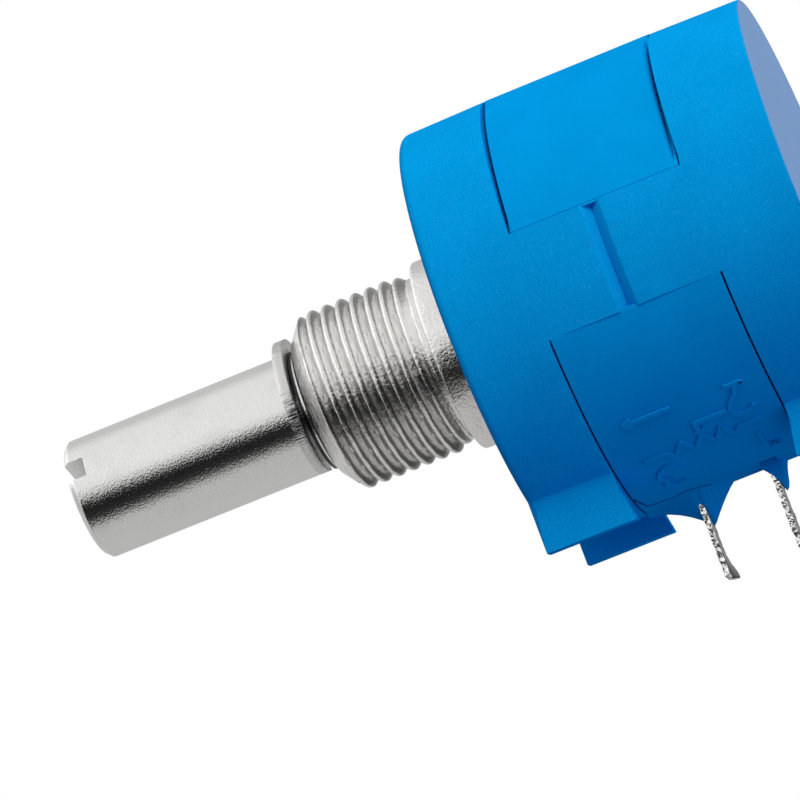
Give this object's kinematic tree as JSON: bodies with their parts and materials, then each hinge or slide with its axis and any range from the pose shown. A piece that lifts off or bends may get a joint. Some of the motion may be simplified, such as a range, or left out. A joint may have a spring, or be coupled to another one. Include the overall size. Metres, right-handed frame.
{
  "type": "multi-turn potentiometer",
  "caption": "Round panel-mount precision potentiometer with threaded bushing, slotted shaft, moulded housing and solder terminals; the shaft drives a wiper along a helical element.",
  "frame": {"origin": "on the shaft axis in the mounting plane, where the bushing's collar seats against the panel", "axes": "-Y along the shaft towards its slotted tip, +Y into the housing, terminals hang along -Z, X across the housing"},
  "size_m": [0.0226, 0.0406, 0.0271],
  "materials": {
    "blue_plastic": "satin moulded",
    "carrier_plastic": "satin moulded",
    "plated_brass": "bright nickel plate",
    "shaft_steel": "satin",
    "clip_steel": "sheared edge",
    "seal_rubber": "matte",
    "inner_plastic": "matte",
    "contact_brass": "bright",
    "element_wire": "fine wound",
    "tinned_blade": "tinned"
  },
  "bodies": {
    "housing": {"front_shell": "blue_plastic", "rear_shell": "blue_plastic", "element_carrier": "carrier_plastic", "bushing": "plated_brass", "resistance_element": "element_wire", "front_tap": "contact_brass", "rear_tap": "contact_brass", "terminal_1": "tinned_blade", "terminal_2": "tinned_blade", "terminal_3": "tinned_blade", "collector_brush": "contact_brass"},
    "rotor_assembly": {"shaft": "shaft_steel", "retaining_clip": "clip_steel", "shim_washer": "clip_steel", "shaft_seal": "seal_rubber", "rotor": "inner_plastic", "collector_strip": "contact_brass", "slip_ring": "contact_brass", "thrust_washer": "inner_plastic"},
    "wiper_assembly": {"wiper_carriage": "inner_plastic", "wiper_contact": "contact_brass"}
  },
  "joints": [
    {"name": "shaft_turn", "type": "hinge", "parent": "housing", "child": "rotor_assembly", "pos_m": [0, 0, 0], "axis": [0, 1, 0], "range_deg": [0, 3600]},
    {"name": "wiper_travel", "type": "slide", "parent": "rotor_assembly", "child": "wiper_assembly", "axis": [0, -1, 0], "range_m": [0, 0.01082]}
  ],
  "couplings": [
    {"joint": "wiper_travel", "follows": "shaft_turn", "m_per_rad": 0.00017189}
  ]
}
